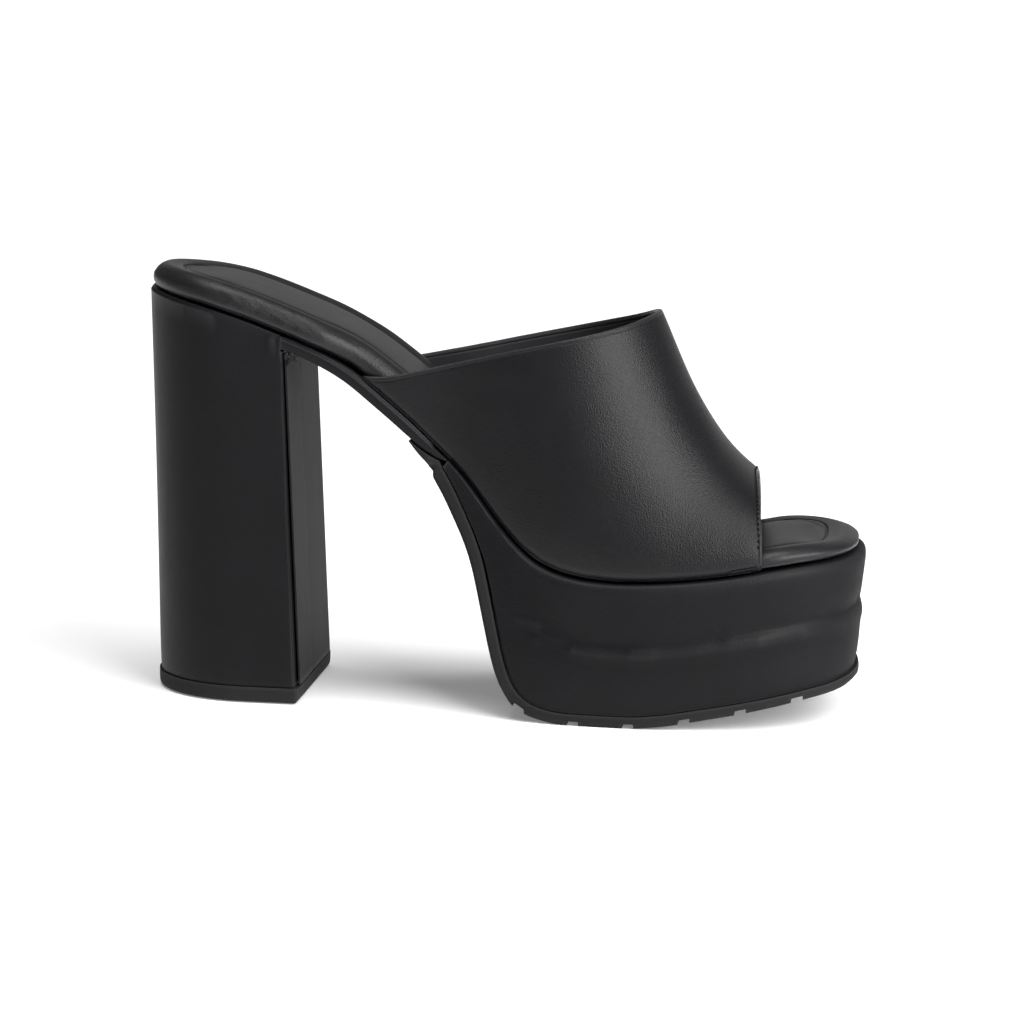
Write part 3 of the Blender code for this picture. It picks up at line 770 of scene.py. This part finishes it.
def make_insole():
    """The padded insole: a rolled edge, a valley, and a panel with a sewn groove round it."""
    piece = rounded(cage("footbed", "padded_insole"), 2, 0.0)
    square_toe(piece, TOE_X - TOE_MARGIN)
    points = read(piece)
    x = points[:, 0].copy()
    inset = distance(points * (1, 1, 0), insole_outline())
    over = points[:, 2] - seat(x)
    thick = insole_thickness(x)
    lift = np.interp(inset, [row.inset for row in INSOLE_LIFT], [row.share for row in INSOLE_LIFT])
    points[:, 2] += np.where(over > TOP_SHARE * thick, lift * thick, 0)
    side = np.sign(points[:, 1] - middle(x))
    low = np.clip(1 - over / (EDGE_SHARE * thick), 0, 1) ** EDGE_CURVE
    low *= np.where(inset < EDGE_INSET, 1, 0)
    draw = DRAWN_IN * ramp(x, *DRAWN_IN_OVER) - LET_OUT * ramp(x, *LET_OUT_OVER)
    points[:, 1] -= side * low * draw * (1 - ramp(x, *EDGE_FADES_OVER))
    place_points(piece, points)
    press(piece, ROLL_CREASES)
    mark(piece, "inset", inset)
    dressed(piece, "lining", insole_leather())


# The fold round the platform's wall, on its outer side.
FOLD = [
    (4.8, -38.2, 35.3), (12.0, -41.0, 29.5), (22.3, -42.6, 26.3), (34.5, -43.5, 24.9),
    (49.6, -43.9, 25.3), (64.5, -42.6, 27.3), (82.3, -39.4, 30.2), (94.0, -33.3, 32.6),
    (104.0, -23.0, 33.8), (109.0, -13.0, 34.4), (110.5, 0.0, 34.8),
]
FOLD_REACH = 7
FOLD_START = 16

# The fold's soft ridges on the outer side. The inner side mirrors them.
FOLD_RIDGES = [
    Trough([(16.0, -42.0, 26.6), (34.5, -43.5, 22.8), (49.6, -43.9, 23.0)], 2.2, -0.4),
    Trough([(27.0, -43.0, 23.4), (34.5, -43.5, 22.6), (49.6, -43.9, 22.9), (64.5, -42.6, 24.9),
            (82.3, -39.4, 27.6), (94.0, -33.3, 29.8), (103.0, -24.0, 30.9)], 1.8, -0.75),
    Trough([(45.0, -43.9, 22.6), (64.5, -42.6, 24.9), (82.3, -39.4, 27.8), (94.0, -33.3, 30.0),
            (104.0, -22.0, 31.0)], 2.4, -0.55),
    Trough([(74.0, -41.2, 27.4), (82.3, -39.4, 28.6), (94.0, -33.3, 30.4), (104.0, -22.0, 31.2)],
           3.2, -0.4),
    Trough([(101.0, -26.0, 36.0), (107.0, -16.0, 36.6), (110.0, -6.0, 37.0)], 2.4, 0.8),
    Trough([(9.0, -40.8, 31.5), (15.0, -41.9, 29.9)], 1.6, -0.28),
]

# The ridge where it runs round the toe, on the outer half.
TOE_FOLD = [(102.0, -25.0, 31.0), (107.0, -17.0, 31.3), (110.0, -8.0, 31.5), (111.2, 0.0, 31.6)]
TOE_RIDGE = Trough(TOE_FOLD + inner_side(TOE_FOLD), 2.2, -0.5)


def make_platform():
    """The wrapped platform, with a soft fold of the leather round its wall."""
    piece = cage("platform", "platform_wrap")
    points = read(piece)
    near = distance(points, path_runs(FOLD + inner_side(FOLD))) < FOLD_REACH
    take(piece)
    bpy.ops.object.mode_set(mode="EDIT")
    bpy.ops.mesh.select_mode(type="VERT")
    bpy.ops.mesh.select_all(action="DESELECT")
    bpy.ops.object.mode_set(mode="OBJECT")
    piece.data.vertices.foreach_set("select", near & (points[:, 0] > FOLD_START))
    bpy.ops.object.mode_set(mode="EDIT")
    bpy.ops.mesh.vertices_smooth(factor=0.5, repeat=3, xaxis=True, yaxis=True, zaxis=False)
    bpy.ops.object.mode_set(mode="OBJECT")
    rounded(piece, 2, 1.0)
    square_toe(piece, TOE_X)
    mirrored = [ridge._replace(path=inner_side(ridge.path)) for ridge in FOLD_RIDGES]
    press(piece, FOLD_RIDGES + mirrored + [TOE_RIDGE])
    mark(piece, "scuffed", ramp(read(piece)[:, 0], *SCUFFS_OVER))
    dressed(piece, "leather", wrap_leather())


# The shank's end is pulled back to just this far from the heel, over a short way.
SHANK_CONTACT = 0.05
SHANK_BLEND = 1.5


def make_heel():
    """The wrapped heel, the panels on its breast, and the shank that runs on from it."""
    smooth = plain_leather(HEEL_SKIN)
    strip = plain_leather(BREAST_SKIN, BREAST_STRETCH)
    dressed(rounded(cage("heel", "heel_wrap"), 2, 1.0), "leather", smooth)
    dressed(rounded(cage("breast_cover_outer", "breast_panel_outer"), 1, 1.0), "leather", strip)
    dressed(rounded(cage("breast_cover_inner", "breast_panel_inner"), 1, 1.0), "leather", strip)
    shank = rounded(cage("shank_cover", "shank_wrap"), 2, 1.0)
    points = read(shank)
    end = BACK_X + HEEL_TOP_LENGTH - SHANK_LAP
    points[:, 0] -= (FIT_GAP - SHANK_CONTACT) * (1 - ramp(points[:, 0], end, end + SHANK_BLEND))
    place_points(shank, points)
    dressed(shank, "leather", smooth)
    make_tuck(smooth)


# The gathered end of the shank's cover: lumps of leather, each a place, a size and a lean in degrees.
Lump = namedtuple("Lump", "x y z long thick high lean")
TUCK = [
    Lump(-65.3, -27.6, 107.6, 1.5, 1.3, 2.6, 8), Lump(-63.6, -28.0, 108.0, 1.7, 1.1, 1.6, 55),
    Lump(-62.2, -28.2, 106.8, 2.2, 1.0, 1.5, 60), Lump(-64.2, -27.6, 106.0, 1.6, 1.0, 2.2, 20),
    Lump(-65.1, -27.0, 104.6, 1.1, 1.0, 2.4, 4),
]
TUCK_BLEND = 0.16
TUCK_SOFTENINGS = 5


def make_tuck(material):
    """Where the shank's cover ends at the breast, its edge is gathered and tucked in."""
    lumps = []
    for lump in TUCK:
        deselect()
        bpy.ops.mesh.primitive_uv_sphere_add(segments=20, ring_count=12, radius=0.5 * MM)
        made = bpy.context.object
        made.data.transform(Matrix.Diagonal((lump.long, lump.thick, lump.high, 1)))
        made.data.transform(Matrix.Rotation(radians(lump.lean), 4, "Y"))
        made.data.transform(Matrix.Translation(Vector((lump.x, lump.y, lump.z)) * MM))
        lumps.append(made)
    piece = joined(lumps, "shank_tuck")
    blend = piece.modifiers.new("blend", "REMESH")
    blend.mode = "VOXEL"
    blend.voxel_size = TUCK_BLEND * MM
    bpy.ops.object.modifier_apply(modifier="blend")
    soften = piece.modifiers.new("soften", "SMOOTH")
    soften.factor = 0.5
    soften.iterations = TUCK_SOFTENINGS
    bpy.ops.object.modifier_apply(modifier="soften")
    bpy.ops.object.shade_smooth()
    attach(piece, "root")
    dressed(piece, "leather", material)


# The sole's tail up the platform's back, which flares sideways over this length.
TAIL_BACK = -28
TAIL_FRONT = -19.9
TAIL_LIMIT = -19.5
TAIL_FLARE = 0.8


def make_rubber():
    """The heel's top piece and the sole."""
    lift_rubber = moulded_rubber("lift_rubber", LIFT_DARK, LIFT_LIGHT)
    sole_rubber = moulded_rubber("sole_rubber", SOLE_DARK, SOLE_LIGHT)
    dressed(rounded(cage("top_lift", "heel_top_piece"), 2, 1.0), "rubber", lift_rubber)
    sole = rounded(cage("outsole", "rubber_sole"), 1, 1.0)
    square_toe(sole, TOE_X)
    points = read(sole)
    x = points[:, 0]
    flare = ramp(x, TAIL_BACK, TAIL_FRONT) * np.where(x < TAIL_LIMIT, TAIL_FLARE, 0)
    points[:, 1] += np.sign(points[:, 1] - middle(x)) * flare
    place_points(sole, points)
    dressed(sole, "rubber", sole_rubber)


# The floor, whose glow grows with the distance from the shoe: painted light, dimmer near the shoe so
# that the shadows cast there stay dark.
FLOOR_SIZE = 60
FLOOR_COLOUR = (0.88, 0.88, 0.885, 1)
GLOW_NEAR = (0.19, 0.19, 0.19)
GLOW_FAR = (0.4, 0.4, 0.4)
GLOW_START = 250
GLOW_END = 1400


def floor():
    """A plain pale floor, kept as pale as the photograph's."""
    bpy.ops.mesh.primitive_plane_add(size=FLOOR_SIZE, location=(0, 0, 0))
    ground = bpy.context.object
    ground.name = "studio_floor"
    shader = Shader("pale_floor")
    shader.surface.inputs["Base Color"].default_value = FLOOR_COLOUR
    shader.surface.inputs["Roughness"].default_value = 0.8
    shader.surface.inputs["Emission Strength"].default_value = 1.0
    shader.gloss(0.0)
    away = shader.node("ShaderNodeVectorMath", operation="LENGTH")
    shader.link(shader.place(), away.inputs[0])
    far = shader.spread(away.outputs["Value"], 0.0, 1.0, GLOW_START, GLOW_END)
    shader.link(shader.mix(far, GLOW_NEAR, GLOW_FAR), shader.surface.inputs["Emission Color"])
    ground.data.materials.append(shader.material)


# The photograph's own view: the camera's place in millimetres, and its three axes.
EYE = (128.08, -1177.98, 237.24)
RIGHT = (0.99365289, 0.10986514, 0.02415747)
UP = (-0.04017933, 0.14604802, 0.98846123)
BACKWARD = (0.10506928, -0.98315799, 0.14953534)
LENS = 135
SENSOR = 36


def camera():
    """It looks from 6 degrees towards the toe and 9 degrees down, with a long lens."""
    lens = bpy.data.cameras.new("photo_camera")
    lens.sensor_width = SENSOR
    lens.lens = LENS
    lens.clip_start = 0.05
    lens.clip_end = 200
    eye = put("photo_camera", lens)
    turn = Matrix((RIGHT, UP, BACKWARD)).transposed().to_4x4()
    eye.matrix_world = Matrix.Translation(Vector(EYE) * MM) @ turn
    bpy.context.scene.camera = eye


# The room's own light, and the wide light overhead.
ROOM_LIGHT = 0.13
OVERHEAD_LIGHT = 1.9
OVERHEAD_ANGLE = radians(38)
OVERHEAD_WAY = (0.05, 0.1, -1)


def aim(holder, direction):
    """Turns a light to shine this way."""
    holder.rotation_euler = Vector(direction).to_track_quat("-Z", "Y").to_euler()


def softbox(name, place, target, width, height, watts):
    """A rectangular light. Its places and sizes are in metres."""
    lamp = bpy.data.lights.new(name, "AREA")
    lamp.shape = "RECTANGLE"
    lamp.size = width
    lamp.size_y = height
    lamp.energy = watts
    holder = put(name, lamp)
    holder.location = place
    aim(holder, Vector(target) - Vector(place))


def studio():
    """A dim white room, a wide light overhead, a softbox at the toe and a weak one behind."""
    world = bpy.data.worlds.new("studio")
    bpy.context.scene.world = world
    world.use_nodes = True
    background = world.node_tree.nodes["Background"]
    background.inputs["Color"].default_value = (1, 1, 1, 1)
    background.inputs["Strength"].default_value = ROOM_LIGHT
    lamp = bpy.data.lights.new("overhead_light", "SUN")
    lamp.energy = OVERHEAD_LIGHT
    lamp.angle = OVERHEAD_ANGLE
    aim(put("overhead_light", lamp), OVERHEAD_WAY)
    softbox("toe_softbox", (0.87, -0.64, 0.72), (0.02, 0, 0.07), width=1.3, height=1.0, watts=32)
    softbox("back_softbox", (0.0, 2.5, 0.75), (0, 0, 0.1), width=2.2, height=1.3, watts=3.5)
    bpy.context.scene.view_settings.view_transform = "Standard"


make_heel()
make_rubber()
make_platform()
make_insole()
make_vamp()
floor()
camera()
studio()
